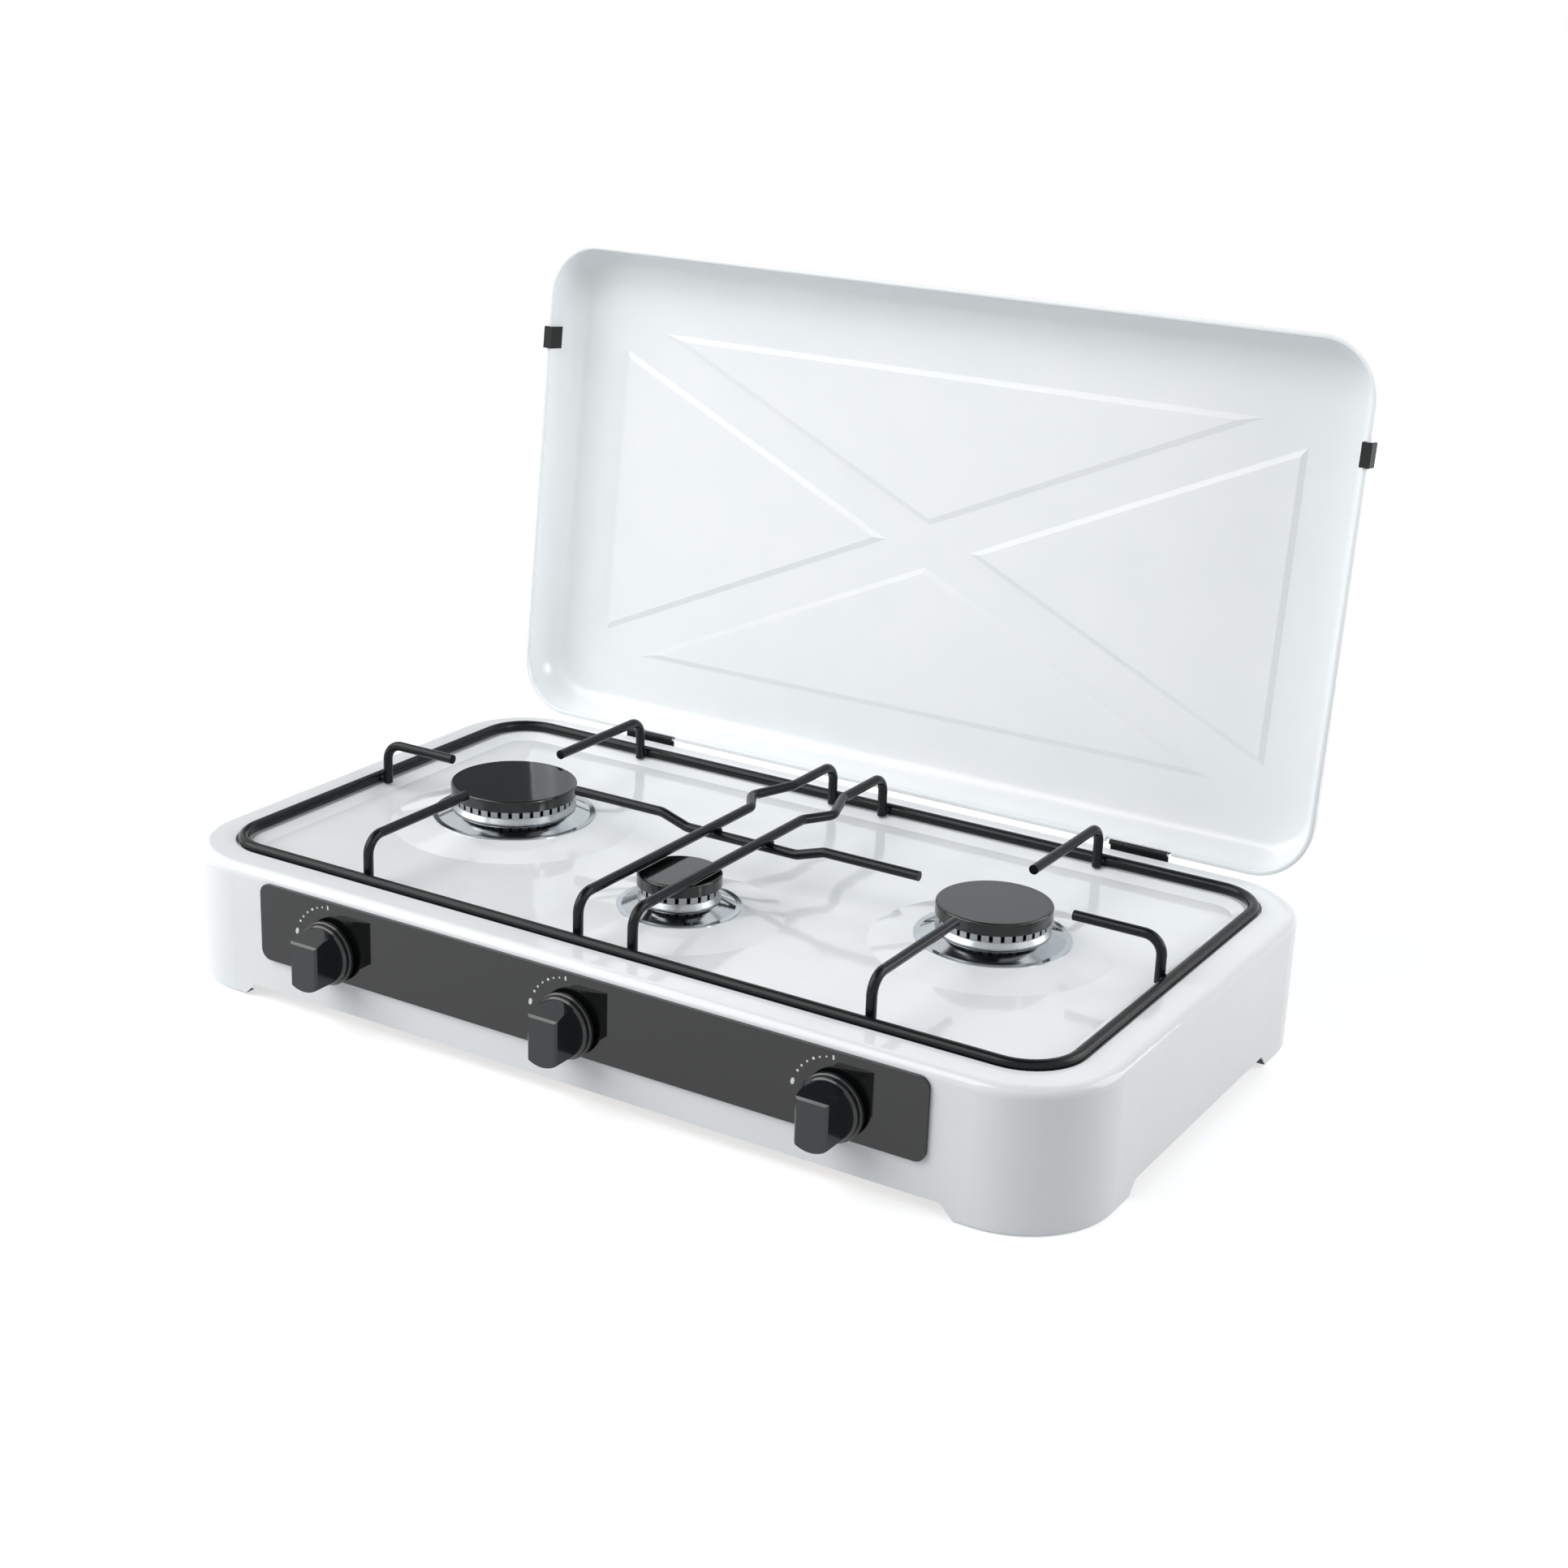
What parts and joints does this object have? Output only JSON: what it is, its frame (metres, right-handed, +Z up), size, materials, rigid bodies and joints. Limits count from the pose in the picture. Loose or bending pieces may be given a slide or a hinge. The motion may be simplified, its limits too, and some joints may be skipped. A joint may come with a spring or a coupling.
{
  "type": "gas hob",
  "caption": "Enamelled tabletop gas hob with a hinged lid, a bent-wire pan support, slotted burners in bright spill cups and push-and-turn knobs on a dark front panel.",
  "frame": {"origin": "on the table under the middle of the whole hob's box, with the lid open and the knobs at off", "axes": "+X to the right along the panel, +Y to the back where the lid is hinged, +Z up"},
  "size_m": [0.66, 0.4698, 0.4434],
  "materials": {
    "white_enamel": "gloss vitreous enamel on pressed steel",
    "black_enamel": "semi-gloss black enamel on steel",
    "panel_gloss": "high gloss",
    "knob_plastic": "gloss moulded",
    "black_plastic": "fine matt moulded",
    "chrome": "bright plated",
    "cast_aluminium": "cast and turned",
    "brass": "turned",
    "zinc_steel": "zinc plated"
  },
  "bodies": {
    "hob": {"body_shell": "white_enamel", "body_floor": "white_enamel", "pan_support_frame": "black_enamel", "finger_left": "black_enamel", "finger_back_left": "black_enamel", "finger_front_left": "black_enamel", "finger_right": "black_enamel", "finger_back_right": "black_enamel", "finger_front_right": "black_enamel", "long_wire_left": "black_enamel", "long_wire_right": "black_enamel", "cross_wire": "black_enamel", "burner_cap_left": "black_enamel", "burner_cap_middle": "black_enamel", "burner_cap_right": "black_enamel", "control_panel": "panel_gloss", "hinge_bracket_left": "black_plastic", "hinge_bracket_right": "black_plastic", "burner_cup_left": "chrome", "burner_cup_middle": "chrome", "burner_cup_right": "chrome", "burner_base_left": "cast_aluminium", "burner_base_middle": "cast_aluminium", "burner_base_right": "cast_aluminium", "burner_head_left": "cast_aluminium", "burner_head_middle": "cast_aluminium", "burner_head_right": "cast_aluminium", "gas_rail": "brass", "rail_end_plug": "brass", "inlet_nozzle": "brass", "inlet_locknut": "brass", "tap_body_left": "brass", "tap_body_middle": "brass", "tap_body_right": "brass", "tap_bonnet_left": "brass", "tap_bonnet_middle": "brass", "tap_bonnet_right": "brass", "injector_left": "brass", "injector_middle": "brass", "injector_right": "brass", "burner_screws": "zinc_steel", "tap_screws": "zinc_steel", "bracket_screws": "zinc_steel", "hinge_pin_left": "zinc_steel", "hinge_pin_right": "zinc_steel"},
    "lid": {"lid_shell": "white_enamel", "hinge_leaf_left": "black_plastic", "hinge_leaf_right": "black_plastic", "leaf_rivets": "white_enamel", "lid_clip_left": "black_plastic", "lid_clip_right": "black_plastic"},
    "plug_left": {"tap_plug_left": "brass"},
    "knob_left": {"knob_left": "knob_plastic", "spindle_left": "zinc_steel"},
    "plug_middle": {"tap_plug_middle": "brass"},
    "knob_middle": {"knob_middle": "knob_plastic", "spindle_middle": "zinc_steel"},
    "plug_right": {"tap_plug_right": "brass"},
    "knob_right": {"knob_right": "knob_plastic", "spindle_right": "zinc_steel"}
  },
  "joints": [
    {"name": "lid_hinge", "type": "hinge", "parent": "hob", "child": "lid", "pos_m": [0, 0.16696, 0.0935], "axis": [1, 0, 0], "range_deg": [0, 96.3]},
    {"name": "tap_turn_left", "type": "hinge", "parent": "hob", "child": "plug_left", "pos_m": [-0.184, -0.19704, 0.0515], "axis": [0, -1, 0], "range_deg": [0, 90]},
    {"name": "knob_push_left", "type": "slide", "parent": "plug_left", "child": "knob_left", "axis": [0, 1, 0], "range_m": [0, 0.0025], "stiffness_N_per_m": 400},
    {"name": "tap_turn_middle", "type": "hinge", "parent": "hob", "child": "plug_middle", "pos_m": [0, -0.19704, 0.0515], "axis": [0, -1, 0], "range_deg": [0, 90]},
    {"name": "knob_push_middle", "type": "slide", "parent": "plug_middle", "child": "knob_middle", "axis": [0, 1, 0], "range_m": [0, 0.0025], "stiffness_N_per_m": 400},
    {"name": "tap_turn_right", "type": "hinge", "parent": "hob", "child": "plug_right", "pos_m": [0.184, -0.19704, 0.0515], "axis": [0, -1, 0], "range_deg": [0, 90]},
    {"name": "knob_push_right", "type": "slide", "parent": "plug_right", "child": "knob_right", "axis": [0, 1, 0], "range_m": [0, 0.0025], "stiffness_N_per_m": 400}
  ]
}
